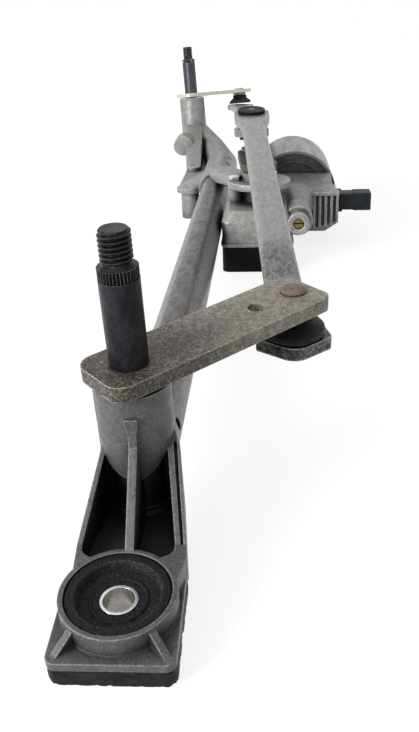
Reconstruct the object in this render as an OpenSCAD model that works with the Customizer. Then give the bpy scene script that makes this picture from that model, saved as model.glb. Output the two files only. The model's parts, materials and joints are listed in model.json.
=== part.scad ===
/* [Near bearing] */
// Distance from the mounting bush to the near spindle
near_arm = 51.5; // [48:0.5:56]
// Height of the near lever's top face over the foot pad's underside
near_h = 57.5; // [55:0.5:62]
// Lean of the near spindle towards its mounting bush, in degrees
near_tilt = 6; // [4:0.5:8]
// Lean of the near spindle to the left, in degrees
near_lean = 0.8; // [0:0.1:1.5]
// Outer radius of the cup that holds the rubber mount
cup_r = 16.7; // [16:0.1:17.5]
// Height of the cup's rim over the foot pad's underside
cup_top = 14.5; // [13.5:0.5:16]
// Thickness of the rubber foot pad
pad_t = 6; // [5:0.5:7]
// Thickness of the cast foot flange
flange_t = 2.5; // [2:0.5:3]
// Width of the cast foot flange
flange_w = 35; // [33:0.5:38]
// Bore radius of the steel mounting bush
bush_bore_r = 4.5; // [4.2:0.1:4.8]

/* [Spindles and levers] */
// Radius of both wiper spindles
spindle_r = 6.2; // [5.8:0.1:6.6]
// Length of a spindle above its lever
spindle_out = 43.1; // [41:0.1:46]
// Outer radius of both cast pivot barrels
barrel_r = 12.2; // [11.6:0.1:13]
// Width of both levers
lever_w = 24; // [22:0.5:26]
// Thickness of the near lever
lever_t = 5; // [4:0.5:6]
// Thickness of the far lever
far_lever_t = 3.5; // [3:0.5:4.5]
// Near lever, spindle axis to ball stud
near_len = 69.3; // [66:0.1:71]
// Far lever, spindle axis to ball stud
far_len = 63; // [60:0.5:65]
// Angle of both levers from the X axis, in degrees
lever_angle = 42.8; // [40:0.1:45]
// Radius of every joint ball
ball_r = 5; // [4.6:0.1:5.2]

/* [Frame] */
// Outer radius of the frame tube
tube_r = 11; // [10.5:0.1:11.5]
// Wall thickness of the frame tube
tube_wall = 1.5; // [1.2:0.1:2]
// Height of the frame tube's axis
tube_z = 22; // [21:0.5:23]
// Distance between the two spindles along the tube
pivot_span = 618; // [610:1:630]
// Offset of the far spindle to the left of the near one
far_left = 34; // [32:0.5:38]
// Height of the far lever's top face
far_h = 76; // [74:0.5:79]
// Lean of the far spindle away from the near one, in degrees
far_tilt = 6; // [4:0.5:8]
// Lean of the far spindle to the left, in degrees
far_lean = 3.6; // [2:0.2:5]
// Radius of the locating peg under the far bearing
peg_r = 7.2; // [6.4:0.1:7.6]

/* [Motor] */
// Position of the motor's output axis to the right of the origin
motor_x = 35.2; // [34.6:0.2:36]
// Distance of the motor's output axis from the origin along the tube
motor_y = 364.6; // [360:0.2:368]
// Length of the gear housing along the tube
box_l = 70; // [66:1:74]
// Height of the black gear cover
cover_h = 16.8; // [15:0.2:17.4]
// Radius of the motor can
can_r = 30; // [28:0.5:31]
// Length of the motor can
can_l = 84; // [78:1:90]
// Teeth on the worm wheel
wheel_teeth = 42; // [36:1:46]
// Crank radius, output axis to double ball stud
crank_r = 44.2; // [42:0.2:46]
// Angle of the parked crank from the X axis, in degrees
crank_angle = 97; // [94:1:100]

/* [Link rods] */
// Width of the flat-oval rod tube
rod_w = 15.5; // [14:0.5:16]
// Thickness of the flat-oval rod tube
rod_t = 8; // [7:0.5:8.5]
// Width of a flattened rod end at the crank
eye_w = 24; // [22:0.5:25]
// Width of a flattened rod end at a lever
spade_w = 27; // [25:0.5:28]

/* [Hidden] */
$fn = 64;
// Clearances: running fits, seats in one body, and faces that pass each other
run = 0.05;
seat = 0.05;
gap = 0.3;

// Floor that the tilted foot pad's front edge touches
foot_front = 19.5;
floor_z = -foot_front * sin(near_tilt);

// Near bearing, in its own tilted frame
flange_z = pad_t + flange_t;
washer_t = 0.6;
barrel_top = near_h - lever_t - washer_t - gap;
barrel_low = pad_t;
shank_r = spindle_r - 0.2;
bush_r = spindle_r + 2.3;
bush_l = 10;
spindle_low = barrel_low + 1;
iso_r = cup_r - 1.5;
sleeve_r = bush_bore_r + 0.9;
sleeve_top = cup_top - 3;
wall_t = 1.6;
rib_t = 2.6;
rib_x = 0.9;
foot_back = 20;
// Top edge of the arm's side walls: from the barrel down to the cup
wall_root = [near_arm - 7, near_h - 28];
wall_tip = [near_arm - 33, cup_top];

// Top centre of each lever's spindle hole
near_top = [
    (-near_arm * sin(near_tilt) - near_h * cos(near_tilt)) * sin(near_lean),
    near_arm * cos(near_tilt) - near_h * sin(near_tilt),
    (near_arm * sin(near_tilt) + near_h * cos(near_tilt)) * cos(near_lean)
];
far_top = [near_top[0] - far_left, near_top[1] + pivot_span, far_h];

// Spindle ends, from the tip down: thread, relief and serrated band
serr_drop = 15;
serr_h = 3.8;
serr_depth = 0.7;
serr_teeth = 36;
relief_h = 0.8;
thread_r = spindle_r - 1.3;
thread_root_r = thread_r - 0.9;
thread_pitch = 1.5;

// Ball studs under the levers, with their dust boots
boot_r = 11.2;
near_boot_reach = 0.1;
far_boot_reach = 0.1;
stud_neck = 5.2;
stud_r = 4;
collar_r = 6.5;
collar_t = 2;
near_ball = [near_len * cos(lever_angle), near_len * sin(lever_angle)];
far_ball = [far_len * cos(lever_angle), far_len * sin(lever_angle)];
// The open rod ends lie this far under a lever
eye_t = 5;
open_gap = 1.5;
socket_fit_r = 8.5;
eye_drop = stud_neck + ball_r + open_gap + eye_t / 2;

// Frame tube
tube_x = -0.7;
tube_in = tube_r - tube_wall;
tube_start = near_top[1] + (near_top[2] - tube_z) * tan(near_tilt) + barrel_r + 2;
stake_r = 2.4;
stake_in = 10;
spigot_l = 30;

// Far casting: socket for the tube, foot with its peg, ridge, elbow and side boss
socket_l = 105;
socket_back = 88;
socket_end = far_top[1] - socket_back;
socket_start = socket_end - socket_l;
socket_r = tube_r + 2.6;
tube_end = socket_end - 25;
foot_t = 3.5;
foot_z = tube_z - 3;
peg_out = 21.5;
peg_in = 8;
peg = [tube_x - peg_out, socket_start + peg_in];
ridge_out = 24;
ridge_in = 76;
ridge_r = 6.5;
ridge_h = 7;
ridge_front = [tube_x - ridge_out, socket_start + ridge_in];
elbow_r = 11.8;
elbow_out = 12;
elbow_in = 52;
elbow_rise = 6;
elbow = [tube_x - elbow_out, socket_end + elbow_in, tube_z + elbow_rise];
side_boss_r = 9;
side_boss_l = 22;
side_boss_back = 68;
side_boss = [far_top[0] - 3.5, far_top[1] - side_boss_back, tube_z + 14];
far_barrel_l = 42;
far_barrel_top = -far_lever_t - washer_t - gap;

// Motor: heights of its pieces over the floor and places along the tube
box_w = 45.5;
box_r = 5;
wheel_pitch_r = 18.5;
worm_r = 6;
chamber_r = wheel_pitch_r + 1.3;
box_left = -chamber_r - 3.9;
box_front = motor_y - box_l / 2;
cover_top = floor_z + cover_h;
box_h = 39.5;
box_top = floor_z + box_h;
lip_t = 2;
lip_out = 0.8;
cover_screw_in = 5;
worm_x = motor_x + wheel_pitch_r + worm_r + 1;
worm_h = 31.5;
worm_z = floor_z + worm_h;
block_right = 30;
block_left = 24;
block_up = 7.5;
block_in = 60;
wheel_t = 9;
block_start = box_front + block_in;
block_l = 29.5;
can_start = block_start + block_l;
can_wall = 2;
brush_plate_t = 3;
core_l = 42;
core_in = 16;
commutator_r = 8;
commutator_l = 8;
rotor_r = 3.5;
plate_rise = 9.5;
plate_z = box_top + plate_rise;
plate_t = 4;
plate_r = 21;
hub_h = 5.5;
screw_circle = 15.5;
screw_angles = [60, 180, 300];
shaft_r = 6;
screw_r = 3.6;

// Crank and its double ball stud
crank_z = plate_z + plate_t + hub_h + 1;
crank_t = 4.5;
stud_rise = 13;
crank_end = [motor_x + crank_r * cos(crank_angle), motor_y + crank_r * sin(crank_angle)];
low_ball_z = crank_z + crank_t + stud_rise;
high_ball_z = low_ball_z + 2 * ball_r + 1.2;
nut_h = 5;
neck_r = 3;
socket_flange_r = 9.4;
near_rod_a = [crank_end[0], crank_end[1], high_ball_z];
far_rod_a = [crank_end[0], crank_end[1], low_ball_z];

// Frame of the near bearing: origin at the mounting bush, Z along the spindle
module near_frame() {
    rotate([near_tilt, -near_lean, 0]) children();
}

// Frame of the near spindle: origin at the lever's top face
module near_spindle_frame() {
    near_frame() translate([0, near_arm, near_h]) children();
}

// Frame of the far spindle: origin at the lever's top face
module far_spindle_frame() {
    translate(far_top) rotate([-far_tilt, -far_lean, 0]) children();
}

// Frame of the motor's output axis, at the origin's height
module motor_frame() {
    translate([motor_x, motor_y, 0]) children();
}

// Local X runs from point a towards point b, local Z stays upright
module link_frame(a, b) {
    d = b - a;
    flat = norm([d[0], d[1]]);
    translate(a) rotate([0, -atan2(d[2], flat), atan2(d[1], d[0])]) children();
}

// Cylinder along Y, starting at y
module bar_y(r, y, l) {
    translate([0, y, 0]) rotate([-90, 0, 0]) cylinder(r = r, h = l);
}

// Flat ring
module ring(r_out, r_in, h) {
    difference() {
        cylinder(r = r_out, h = h);
        translate([0, 0, -1]) cylinder(r = r_in, h = h + 2);
    }
}

// Rectangle from x0 to x1, width w, with one corner radius at each end
module strip(x0, x1, w, r0, r1) {
    translate([x0 + r0, -w / 2]) square([x1 - x0 - r0 - r1, w]);
    translate([x0, -w / 2 + r0]) square([r0 * 2, w - 2 * r0]);
    translate([x1 - r1 * 2, -w / 2 + r1]) square([r1 * 2, w - 2 * r1]);
    for (s = [-1, 1]) {
        translate([x0 + r0, s * (w / 2 - r0)]) circle(r = r0);
        translate([x1 - r1, s * (w / 2 - r1)]) circle(r = r1);
    }
}

// Flat oval, the section of a rod tube
module oval(w, h) {
    square([w - h, h], center = true);
    for (s = [-1, 1]) translate([s * (w - h) / 2, 0]) circle(d = h);
}

// Wiper spindle, turned from shank to threaded tip, with a serrated band rolled over its core
module spindle(low) {
    serr_z = spindle_out - serr_drop;
    relief_z = serr_z + serr_h;
    thread_z = relief_z + relief_h;
    turns = floor((spindle_out - thread_z) / thread_pitch) - 1;
    lead_z = spindle_out - turns * thread_pitch;
    core_r = spindle_r - serr_depth - 0.3;
    step = 180 / serr_teeth;
    rotate_extrude() polygon(concat(
        [[0, low], [shank_r, low], [shank_r, 0], [spindle_r, 0], [spindle_r, serr_z], [core_r, serr_z]],
        [[core_r, relief_z], [thread_root_r, thread_z], [thread_root_r, lead_z]],
        [for (i = [0 : turns - 1], k = [0, 1])
            [k == 0 ? thread_r : thread_root_r, lead_z + (i + 0.5 + k / 2) * thread_pitch]],
        [[0, spindle_out]]
    ));
    translate([0, 0, serr_z - serr_depth]) linear_extrude(serr_h + serr_depth) polygon([
        for (i = [0 : 2 * serr_teeth - 1])
            (spindle_r - (i % 2 == 0 ? seat : serr_depth)) * [cos(i * step), sin(i * step)]
    ]);
}

// Flat lever with its spindle hole, a tooling hole and the hole for its ball stud
module lever(len, t) {
    translate([0, 0, -t]) difference() {
        linear_extrude(t) rotate(lever_angle) strip(-12.6, len + 7.5, lever_w, 6, 4);
        translate([0, 0, -1]) cylinder(r = shank_r + seat, h = t + 2);
        rotate(lever_angle) translate([len * 0.75, 0, -1]) cylinder(r = 3, h = t + 2);
        rotate(lever_angle) translate([len, 0, -1]) cylinder(r = stud_r + seat, h = t + 2);
    }
}

// Riveted ball stud: head on top of a lever of thickness t, collar, neck and ball below it
module ball_stud(t) {
    rotate_extrude() polygon([[0, 0], [4.6, 0], [4.6, 0.7], [3.6, 1.5], [0, 1.5]]);
    translate([0, 0, -t]) cylinder(r = stud_r, h = t + 0.5);
    translate([0, 0, -t - collar_t]) cylinder(r = collar_r, h = collar_t);
    translate([0, 0, -t - stud_neck]) sphere(r = ball_r);
}

// Rubber dust boot around the ball, hung on the stud's collar; its skirt ends reach below the ball
module ball_boot(t, reach) {
    top = -t - collar_t - seat;
    low = -t - stud_neck - ball_r;
    bore = ball_r + gap;
    rotate_extrude() polygon([
        [bore, top], [collar_r, top], [collar_r + 0.9, top - 1.6], [collar_r + 0.3, top - 2.6],
        [boot_r - 0.8, low + 2.6], [boot_r, low + 1.8], [boot_r, low - reach],
        [boot_r - 1.4, low - reach], [boot_r - 2, low], [bore, low]
    ]);
}

// Two sintered bushes at the ends of a barrel, low and high are its ends
module bushes(low, high) {
    for (z = [low, high - bush_l]) translate([0, 0, z]) ring(bush_r, shank_r + run, bush_l);
}

// Spring clip under the lower bush
module circlip(low) {
    translate([0, 0, low - gap - 1.2]) difference() {
        ring(spindle_r + 2, shank_r + seat, 1.2);
        translate([0, -1.5, -1]) cube([spindle_r + 4, 3, 4]);
    }
}

// Steel tube of the frame, staked onto the near spigot through its side holes
module frame_tube() {
    color("silver") translate([tube_x, 0, tube_z]) difference() {
        bar_y(tube_r, tube_start, tube_end - tube_start);
        bar_y(tube_in, tube_start - 1, tube_end - tube_start + 2);
        for (a = [20, 200]) translate([0, tube_start + stake_in, 0]) rotate([0, -a, 0])
            translate([tube_in - 3, 0, 0]) rotate([0, 90, 0]) cylinder(r = stake_r, h = 8);
    }
}

// Everything under the sloping top edge of the near arm, lowered by drop
module arm_slope(drop) {
    reach = 25;
    translate([-reach, 0, 0]) rotate([90, 0, 90]) linear_extrude(2 * reach) polygon([
        [0, pad_t], [0, cup_top - drop], wall_tip - [0, drop], wall_root - [0, drop],
        [near_arm, near_h - 24 - drop], [near_arm, pad_t]
    ]);
}

// Plan of the near arm; the right side carries a second wall behind a narrow groove
module arm_plan() {
    polygon([
        [-11, near_arm], [-11, wall_root[0]], [-15.2, wall_tip[0]], [-14, 4], [16, 4],
        [18, wall_tip[0] - 5], [14.4, wall_root[0]], [12, near_arm]
    ]);
}

// Groove between the two right walls
module arm_groove() {
    polygon([[11.9, wall_root[0] + 3], [15.7, wall_tip[0]], [16.6, wall_tip[0]], [13, wall_root[0] + 3]]);
}

// Pockets on both sides of the centre rib, rounded where they meet the cup
module arm_pockets() {
    top = wall_root[0] + 2;
    inner = rib_t / 2;
    difference() {
        union() {
            polygon([
                [rib_x - inner, top], [-9.1, top], [-15.2 + wall_t, wall_tip[0]], [-13.3, 16], [-12, 14.3],
                [-9, 12.5], [rib_x - inner, 12.5]
            ]);
            polygon([
                [rib_x + inner, top], [10.1, top], [15.7 - wall_t, wall_tip[0]], [13.9, 16], [12.6, 14.3],
                [9, 12.5], [rib_x + inner, 12.5]
            ]);
        }
        circle(r = cup_r);
    }
}

// Cast arm: sloping side walls around two pockets
module near_cast_arm() {
    floor_t = 1.5;
    difference() {
        union() {
            intersection() {
                linear_extrude(near_h) difference() {
                    arm_plan();
                    arm_groove();
                }
                arm_slope(0);
            }
            intersection() {
                linear_extrude(near_h) arm_plan();
                arm_slope(3);
            }
        }
        translate([0, 0, pad_t + floor_t]) linear_extrude(near_h) arm_pockets();
    }
}

// Barrel, its front hollowed under a slant where the pockets run in
module near_barrel() {
    skin = 1.5;
    slant = 1.5;
    low = [near_arm - 14, wall_root[1] - 7 * slant];
    high = [near_arm - 4, wall_root[1] + 3 * slant];
    difference() {
        translate([0, near_arm, barrel_low]) cylinder(r = barrel_r, h = barrel_top - barrel_low);
        difference() {
            translate([-9.1, 0, 0]) rotate([90, 0, 90]) linear_extrude(19)
                polygon([[low[0], flange_z], low, high, [high[0], flange_z]]);
            translate([0, near_arm, 0]) cylinder(r = bush_r + skin, h = near_h);
        }
    }
}

// Centre rib: a fin with a flared head down the barrel's front, run out to the cup
module centre_rib() {
    front = near_arm - barrel_r;
    translate([rib_x, 0, 0]) {
        translate([-rib_t / 2, 0, 0]) rotate([90, 0, 90]) linear_extrude(rib_t) polygon([
            [front + 3, near_h - 12.5], [front - 0.4, near_h - 13.5], [front - 1.5, near_h - 22],
            [cup_r - 1, cup_top], [cup_r - 1, pad_t], [front + 3, pad_t]
        ]);
        translate([0, front + 1.4, near_h - 16]) rotate([90, 0, 0]) linear_extrude(2.2)
            polygon([[-2.2, 3.5], [2.2, 3.5], [rib_t / 2, -4], [-rib_t / 2, -4]]);
    }
}

// Triangular gusset from the cup to one front corner of the flange
module foot_gusset(s) {
    corner = [s * (flange_w / 2 - 1.5), -foot_front + 1.5];
    thick = 2.2;
    rotate(atan2(corner[1], corner[0])) rotate([90, 0, 0]) translate([0, 0, -thick / 2])
        linear_extrude(thick) polygon([
            [cup_r - 1, pad_t], [norm(corner) - 1, pad_t],
            [norm(corner) - 1, flange_z], [cup_r - 1, cup_top - 0.6]
        ]);
}

// Die-cast near bearing: barrel, pocketed arm, cup and foot flange, with a spigot for the tube
module near_housing() {
    color("dimgray") difference() {
        union() {
            near_frame() {
                near_barrel();
                near_cast_arm();
                centre_rib();
                translate([0, 0, pad_t]) cylinder(r = cup_r, h = cup_top - pad_t);
                translate([0, 0, pad_t]) linear_extrude(flange_t) rotate(90)
                    strip(-foot_front, wall_tip[0] - 5, flange_w, 3, 1);
                for (s = [-1, 1]) foot_gusset(s);
            }
            translate([tube_x, 0, tube_z]) bar_y(tube_in - seat, tube_start - 6, spigot_l + 6);
            translate([tube_x, 0, tube_z]) bar_y(tube_r + 0.8, tube_start - barrel_r, barrel_r - gap);
        }
        near_frame() {
            translate([0, near_arm, barrel_low - 20]) cylinder(r = bush_r + seat, h = near_h + 20);
            translate([0, near_arm, barrel_low - 20]) cylinder(r = barrel_r + 20, h = 20);
            translate([0, 0, flange_z]) cylinder(r = iso_r, h = cup_top);
            translate([0, 0, -1]) cylinder(r = iso_r - 3, h = flange_z + 2);
        }
    }
}

// Sintered bushes of the near barrel
module near_bushes() {
    color("darkgoldenrod") near_frame() translate([0, near_arm, 0]) bushes(barrel_low, barrel_top);
}

// Rubber mount in the cup: a flat outer ring, dished down to its steel bush
module near_isolator() {
    dish = cup_top - 2.6;
    color([0.12, 0.11, 0.1]) near_frame() rotate_extrude() polygon([
        [sleeve_r + seat, 0.6], [iso_r - 3 - seat, 0.6], [iso_r - 3 - seat, flange_z + seat],
        [iso_r - seat, flange_z + seat], [iso_r - seat, cup_top - 0.8], [iso_r - 0.8, cup_top - 0.2],
        [iso_r - 4.2, cup_top - 0.2], [iso_r - 5.4, dish], [sleeve_r + 0.8, dish - 0.4],
        [sleeve_r + seat, sleeve_top - 0.2]
    ]);
}

// Steel bush that takes the mounting bolt
module near_mount_sleeve() {
    color("gainsboro") near_frame() ring(sleeve_r, bush_bore_r, sleeve_top);
}

// Rubber pad under the foot flange
module near_foot_pad() {
    color([0.08, 0.08, 0.08]) near_frame() difference() {
        linear_extrude(pad_t - seat) rotate(90) strip(-foot_front, foot_back, flange_w, 3, 6);
        translate([0, 0, -1]) cylinder(r = iso_r - 3 + seat, h = pad_t + 2);
    }
}

// Die-cast far bearing: barrel, tube socket, foot with a peg, side boss and motor bracket
module far_housing() {
    barrel_foot = far_barrel_top - far_barrel_l;
    arm_w = 9;
    stake_step = 27;
    color("lightgray") difference() {
        union() {
            far_spindle_frame() translate([0, 0, barrel_foot]) cylinder(r = barrel_r, h = far_barrel_l);
            translate([tube_x, 0, tube_z]) bar_y(socket_r, socket_start, socket_l);
            // Elbow from the socket up to the barrel
            hull() {
                translate([tube_x, 0, tube_z]) bar_y(socket_r, socket_end - 10, 10, $fn = 32);
                translate(elbow) sphere(r = elbow_r, $fn = 32);
            }
            hull() {
                translate(elbow) sphere(r = elbow_r, $fn = 32);
                far_spindle_frame() translate([0, 0, barrel_foot + 2])
                    cylinder(r = barrel_r - 0.5, h = 14, $fn = 32);
            }
            // Ridge from the barrel's foot forward along the left edge, with its round boss
            hull() {
                far_spindle_frame() translate([0, 0, barrel_foot])
                    cylinder(r = ridge_r + 2.5, h = 18, $fn = 32);
                translate([ridge_front[0], ridge_front[1], foot_z])
                    cylinder(r = ridge_r, h = ridge_h, $fn = 32);
            }
            translate(side_boss) bar_y(side_boss_r, 0, side_boss_l);
            // Foot flange that carries the peg, and its web back to the barrel
            hull() {
                translate([peg[0], peg[1], foot_z]) cylinder(r = peg_r + 3.4, h = foot_t, $fn = 32);
                translate([tube_x - 4, peg[1] + 2, foot_z]) cube([6, 44, 12]);
            }
            translate([0, 0, foot_z]) linear_extrude(foot_t) polygon([
                peg - [peg_r + 2, 0], ridge_front - [ridge_r, 0], [far_top[0], elbow[1]],
                [elbow[0], elbow[1]], [tube_x, socket_end], [tube_x, peg[1]]
            ]);
            translate([peg[0], peg[1], floor_z]) cylinder(r = peg_r, h = foot_z - floor_z + 1);
            // Motor bracket plate with its hub, screw bosses and arm
            motor_frame() {
                translate([0, 0, plate_z]) cylinder(r = plate_r, h = plate_t);
                translate([0, 0, plate_z]) cylinder(r = shaft_r + 4.9, h = plate_t + hub_h);
                for (a = screw_angles) rotate(a) translate([screw_circle, 0, box_top])
                    cylinder(r = 5.3, h = plate_rise + 1);
            }
            hull() {
                translate([motor_x - 10, motor_y + 14, plate_z - 3]) cylinder(r = arm_w, h = 6, $fn = 32);
                translate([tube_x - 6, socket_start + 4, tube_z + 6]) cube([16, 30, 6]);
            }
        }
        far_spindle_frame() translate([0, 0, barrel_foot - 30])
            cylinder(r = bush_r + seat, h = far_barrel_l + 40);
        translate([tube_x, 0, tube_z]) bar_y(tube_r + seat, motor_y, tube_end - motor_y + 1);
        // Stake marks over the tube
        for (i = [0 : 2]) translate([tube_x, socket_start + 22 + stake_step * i, tube_z]) rotate([0, 38, 0])
            translate([0, 0, socket_r - 1.6]) cylinder(r = 2.6, h = 30);
        motor_frame() {
            translate([0, 0, plate_z - 20]) cylinder(r = shaft_r + 3.8, h = 40);
            for (a = screw_angles) rotate(a) translate([screw_circle, 0, box_top - 1])
                cylinder(r = 2.7, h = 30);
        }
    }
}

// Sintered bushes of the far barrel
module far_bushes() {
    color("darkgoldenrod") far_spindle_frame() bushes(far_barrel_top - far_barrel_l, far_barrel_top);
}

// Rounded block of the gear housing, drawn in from z0 up to z1
module gear_block(z0, z1, inset) {
    hull() for (x = [box_left + box_r, box_left + box_w - box_r], y = [-1, 1]) {
        side = x < 0 ? 1 : -1;
        translate([x, y * (box_l / 2 - box_r), z0]) cylinder(r = box_r, h = (z1 - z0) * 0.7, $fn = 32);
        translate([x + side * inset, y * (box_l / 2 - box_r - inset), z0])
            cylinder(r = box_r, h = z1 - z0, $fn = 32);
    }
}

// Corners of the gear housing where the cover's screws sit, in the motor's frame
module at_cover_screws() {
    for (x = [box_left + cover_screw_in, box_left + box_w - cover_screw_in], y = [-1, 1])
        translate([x, y * (box_l / 2 - cover_screw_in), 0]) children();
}

// Outline of the cover and of the housing's lip, out wider on every side
module cover_plan(out) {
    translate([box_left + box_w / 2, 0])
        strip(-box_w / 2 - out, box_w / 2 + out, box_l + 2 * out, box_r + out, box_r + out);
}

// Aluminium gear housing: wheel chamber, worm tunnel with thrust boss, ribbed motor flange
module gear_housing() {
    rib_count = 5;
    rib_step = 4;
    rib_rise = 1.1;
    boss_r = 7;
    boss_l = 10;
    tunnel_r = 9.5;
    flange_rise = 7;
    block_end = can_start - gap;
    tunnel_in = box_front + boss_l - 2;
    color("silver") difference() {
        union() {
            motor_frame() {
                gear_block(cover_top, box_top, 4);
                translate([0, 0, cover_top]) linear_extrude(lip_t) cover_plan(lip_out);
                translate([0, 0, box_top - 1]) cylinder(r = shaft_r + 3.4, h = plate_rise + 1);
            }
            translate([worm_x, 0, worm_z]) {
                bar_y(boss_r, box_front, boss_l);
                bar_y(tunnel_r, tunnel_in, block_end - tunnel_in);
                translate([0, block_start - 22, 0]) rotate([-90, 0, 0])
                    cylinder(r1 = tunnel_r, r2 = tunnel_r + 4, h = 24);
            }
            translate([worm_x, block_end, worm_z]) rotate([90, 0, 0]) linear_extrude(block_l - gap) polygon([
                [-block_left, -14], [7 - block_left, -21], [21, -21], [block_right, -15],
                [block_right, block_up - 3], [block_right - 3, block_up],
                [6 - block_left, block_up], [-block_left, block_up - 5]
            ]);
            // Top of the flange, which rises to the can
            translate([worm_x + 6 - block_left, 0, worm_z]) rotate([90, 0, 90])
                linear_extrude(block_left + block_right - 10) polygon([
                    [block_start, 0], [block_start, block_up - 0.5],
                    [block_end, block_up + flange_rise], [block_end, 0]
                ]);
            // Ribs and a ledge on the flange's front
            for (i = [0 : rib_count - 1])
                translate([worm_x + 12 + i * rib_step, block_start - 3, worm_z - 19 + i * rib_rise])
                    cube([1.8, 6, block_up + 18 - i * rib_rise]);
            translate([worm_x + 8, block_start - 4, worm_z + block_up - 2.5]) cube([block_right - 8, 8, 2.5]);
        }
        motor_frame() {
            translate([box_left - 1, -box_l / 2 - 1, floor_z - 10])
                cube([box_w + 1 + gap, box_l + 1 + gap, cover_h + 10]);
            translate([0, 0, cover_top - 1])
                cylinder(r = chamber_r, h = worm_z + wheel_t / 2 + 1.8 - cover_top);
            translate([0, 0, box_top - 10]) cylinder(r = shaft_r + 1.5, h = 40);
            for (a = screw_angles) rotate(a) translate([screw_circle, 0, box_top - 3])
                cylinder(r = 2.05, h = 10);
            at_cover_screws() translate([0, 0, cover_top - 1]) cylinder(r = 1.3, h = 9);
        }
        translate([worm_x, 0, worm_z]) {
            bar_y(worm_r + 1, box_front + 8.2, can_start - box_front);
            bar_y(screw_r + seat, box_front - 1, 11);
        }
    }
}

// Black cover under the gear housing
module gear_cover() {
    color([0.05, 0.05, 0.06]) motor_frame() difference() {
        translate([0, 0, floor_z]) linear_extrude(cover_h - seat) cover_plan(0);
        translate([0, 0, floor_z + 2.5]) cylinder(r = chamber_r, h = cover_h);
        at_cover_screws() translate([0, 0, floor_z - 1]) {
            cylinder(r = 1.6, h = cover_h + 2);
            cylinder(r = 3, h = 4);
        }
    }
}

// Screws that hold the cover, sunk in its corners
module cover_screws() {
    color("gray") motor_frame() at_cover_screws() translate([0, 0, floor_z]) difference() {
        union() {
            translate([0, 0, 0.8]) cylinder(r = 2.7, h = 2.2);
            translate([0, 0, 1]) cylinder(r = 1.25, h = cover_h + 5);
        }
        cylinder(r = 1.3, h = 1.8, $fn = 6);
    }
}

// Slotted brass screw that sets the armature's end float
module thrust_screw() {
    slot_w = 1;
    color("darkgoldenrod") translate([worm_x, 0, worm_z]) difference() {
        bar_y(screw_r, box_front + 1.2, 7);
        translate([-5, box_front, -slot_w / 2]) cube([10, 2.4, slot_w]);
    }
}

// Sintered bush of the output shaft
module output_bush() {
    low = worm_z + wheel_t / 2 + gap + 0.5;
    color("darkgoldenrod") motor_frame() translate([0, 0, low])
        ring(shaft_r + 1.5 - seat, shaft_r + run, plate_z - 1 - low);
}

// Drawn steel can with a rolled rim and a domed end that holds the rear bearing
module motor_can() {
    dome = 9;
    nose_l = 5;
    shoulder = can_l - dome - nose_l;
    color("gainsboro") translate([worm_x, can_start, worm_z]) rotate([-90, 0, 0]) rotate_extrude() {
        polygon(concat(
            [[can_r - can_wall, 0], [can_r, 0]],
            [for (a = [0 : 15 : 90]) [can_r - dome + dome * cos(a), shoulder + dome * sin(a)]],
            [[9, can_l - nose_l], [8, can_l], [0, can_l], [0, can_l - 2.5], [6, can_l - 2.5], [6, can_l - 7]],
            [for (a = [90 : -15 : 0])
                [can_r - dome + (dome - can_wall) * cos(a), shoulder + (dome - can_wall) * sin(a)]]
        ));
    }
}

// Dark brush plate with a raised ring, which closes the front of the can
module motor_end_plate() {
    plate_in = can_start + 1.6;
    ring_r = can_r - 7;
    color([0.2, 0.2, 0.22]) translate([worm_x, 0, worm_z]) difference() {
        union() {
            bar_y(can_r - can_wall - seat, plate_in, brush_plate_t);
            bar_y(worm_r + 6, plate_in - 0.6, brush_plate_t + 3);
            difference() {
                bar_y(ring_r, plate_in - 1, brush_plate_t);
                bar_y(ring_r - 1.6, plate_in - 2, brush_plate_t + 2);
            }
        }
        bar_y(rotor_r + 0.5, can_start - 1, can_l);
    }
}

// Two curved magnets inside the can
module can_magnets() {
    color([0.25, 0.25, 0.26]) translate([worm_x, can_start + core_in - 2, worm_z]) for (s = [0, 180])
        rotate([0, s, 0]) intersection() {
            rotate([-90, 0, 0]) ring(can_r - can_wall - seat, can_r - 6.5, core_l + 6);
            rotate([-90, 0, 0]) linear_extrude(core_l + 6)
                polygon([[0, 0], [can_r, -1.4 * can_r], [2 * can_r, 0], [can_r, 1.4 * can_r]]);
        }
}

// Screws that hang the motor from its bracket
module motor_screws() {
    color("silver") motor_frame() for (a = screw_angles) rotate(a) translate([screw_circle, 0, 0]) {
        translate([0, 0, plate_z + plate_t]) cylinder(r = 4.4, h = 2.6, $fn = 6);
        translate([0, 0, box_top - 2.5]) cylinder(r = 2, h = plate_z + plate_t - box_top + 3);
    }
}

// Black plug socket on the side of the motor flange
module connector() {
    base_x = worm_x + block_right + seat;
    plug_l = 23;
    color([0.05, 0.05, 0.06]) translate([base_x, block_start + 13, worm_z - 2]) difference() {
        union() {
            translate([0, -8.5, -6.4]) cube([3, 17, 12.8]);
            rotate([90, 0, 90]) linear_extrude(plug_l) strip(-7.5, 7.5, 11.6, 2, 2);
            translate([plug_l - 12, 0, 0]) rotate([90, 0, 90]) linear_extrude(12) strip(-8, 8, 12.4, 2, 2);
        }
        translate([6, 0, 0]) rotate([90, 0, 90]) linear_extrude(plug_l) strip(-5.7, 5.7, 8.2, 1.5, 1.5);
    }
}

// Spindle that carries the near wiper arm
module near_spindle() {
    color([0.18, 0.18, 0.2]) near_spindle_frame() spindle(spindle_low - near_h - 3);
}

// Near lever, fixed on its spindle
module near_lever() {
    color([0.5, 0.48, 0.42]) near_spindle_frame() lever(near_len, lever_t);
}

// Ball stud riveted into the near lever
module near_ball_stud() {
    color([0.5, 0.36, 0.26]) near_spindle_frame() translate(near_ball) ball_stud(lever_t);
}

// Dust boot of the near ball stud
module near_ball_boot() {
    color([0.1, 0.1, 0.1]) near_spindle_frame() translate(near_ball) ball_boot(lever_t, near_boot_reach);
}

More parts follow.
